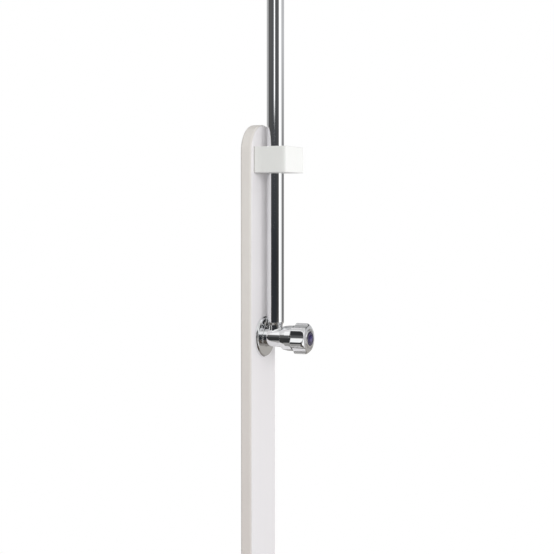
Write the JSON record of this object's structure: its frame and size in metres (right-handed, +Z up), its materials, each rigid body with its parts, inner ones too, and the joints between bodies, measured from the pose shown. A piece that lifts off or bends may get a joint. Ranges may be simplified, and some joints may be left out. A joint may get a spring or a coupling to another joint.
{
  "type": "outdoor shower",
  "caption": "Free-standing cold-water outdoor shower: white post with a round top, chrome riser and gooseneck, lobed tap and swivelling round head.",
  "frame": {"origin": "on the ground, under the middle of the post", "axes": "+Z up, -Y towards the user, the side with the tap and the head; +X to the right when looking along +Y"},
  "size_m": [0.3, 0.473, 2.1974],
  "materials": {
    "post_white": "smooth white paint, satin",
    "clip_white": "smooth, satin",
    "frame_white": "white powder coat",
    "chrome": "polished chrome plate",
    "zinc": "bright stainless steel",
    "brass": "plain machined",
    "black_rubber": "matt black rubber",
    "grey_rubber": "matt grey silicone",
    "index_blue": "glossy dark blue",
    "ceramic": "lapped ceramic",
    "nylon": "natural nylon",
    "spray_grey": "satin grey plastic"
  },
  "bodies": {
    "column": {"base_plate": "frame_white", "front_bracket": "frame_white", "rear_bracket": "frame_white", "bracket_screws": "zinc", "post_bolts": "zinc", "post_washers": "zinc", "post_nuts": "zinc", "foot_pad": "black_rubber", "post": "post_white", "clip_block": "clip_white", "clip_liner": "black_rubber", "clip_inserts": "brass", "clip_screws": "zinc", "riser_lower": "chrome", "riser_coupling": "chrome", "coupling_seals": "black_rubber", "coupling_screws": "zinc", "upper_pipe": "chrome", "valve_body": "chrome", "riser_seal": "black_rubber", "riser_screw": "zinc", "rose": "chrome", "valve_gasket": "black_rubber", "back_washer": "zinc", "back_nut": "brass", "inlet_filter": "zinc", "bonnet": "chrome", "cartridge": "brass", "cartridge_seal": "black_rubber", "seat_seal": "black_rubber", "lower_disc": "ceramic", "spindle_washer": "nylon", "ball_stud": "chrome", "stud_seal": "black_rubber", "stud_screw": "zinc"},
    "knob": {"knob": "chrome", "knob_screw": "zinc", "index_button": "index_blue", "spindle": "brass", "upper_disc": "ceramic", "spindle_seal": "black_rubber", "spindle_clip": "zinc"},
    "swivel": {"swivel_ring": "nylon"},
    "head": {"head_shell": "chrome", "collar_nut": "chrome", "ball_seal": "black_rubber", "head_filter": "zinc", "nozzle_mat": "grey_rubber", "spray_plate": "spray_grey"}
  },
  "joints": [
    {"name": "knob_turn", "type": "hinge", "parent": "column", "child": "knob", "pos_m": [0, -0.07, 1.05], "axis": [0, -1, 0], "range_deg": [0, 90]},
    {"name": "head_turn", "type": "hinge", "parent": "column", "child": "swivel", "pos_m": [0, -0.278, 2.004], "axis": [0, 0, 1], "continuous": true},
    {"name": "head_tilt", "type": "hinge", "parent": "swivel", "child": "head", "pos_m": [0, -0.278, 2.004], "axis": [1, 0, 0], "range_deg": [-15, 15]}
  ]
}
